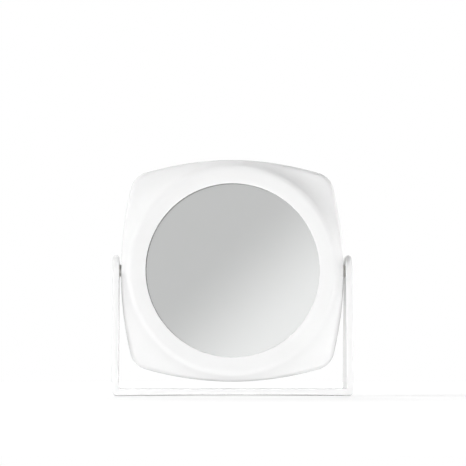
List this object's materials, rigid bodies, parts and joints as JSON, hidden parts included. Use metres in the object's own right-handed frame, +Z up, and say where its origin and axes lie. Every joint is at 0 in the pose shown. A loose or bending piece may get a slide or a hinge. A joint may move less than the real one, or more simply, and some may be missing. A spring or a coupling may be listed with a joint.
{
  "type": "magnifying table mirror",
  "caption": "Free-standing table mirror: a rounded-square plastic head with a round magnifying glass turns right over between the uprights of a U-shaped stand.",
  "frame": {"origin": "on the table, under the middle of the stand's base bar", "axes": "+Z up, +X across to the viewer's right, -Y towards the viewer of the magnifying side"},
  "size_m": [0.1794, 0.0418, 0.1766],
  "materials": {
    "stand_plastic": "satin moulded white",
    "head_plastic": "satin moulded white",
    "silvered_glass": "polished, silvered at the back",
    "packing_foam": "closed-cell foam",
    "core_board": "grey board",
    "bush_plastic": "natural acetal",
    "plated_steel": "zinc plated",
    "washer_fibre": "pressed fibre"
  },
  "bodies": {
    "stand": {"stand_yoke": "stand_plastic", "left_pivot_bush": "bush_plastic", "left_spring_washer": "plated_steel", "left_pivot_cap": "stand_plastic", "right_pivot_bush": "bush_plastic", "right_spring_washer": "plated_steel", "right_pivot_cap": "stand_plastic"},
    "mirror_head": {"front_shell": "head_plastic", "rear_shell": "head_plastic", "magnifying_mirror": "silvered_glass", "plain_mirror": "silvered_glass", "front_foam_ring": "packing_foam", "core_board": "core_board", "rear_foam_disc": "packing_foam", "left_pivot_screw": "plated_steel", "left_pivot_nut": "plated_steel", "left_friction_washer": "washer_fibre", "right_pivot_screw": "plated_steel", "right_pivot_nut": "plated_steel", "right_friction_washer": "washer_fibre"}
  },
  "joints": [
    {"name": "head_tilt", "type": "hinge", "parent": "stand", "child": "mirror_head", "pos_m": [0, 0, 0.0936], "axis": [1, 0, 0], "continuous": true}
  ]
}
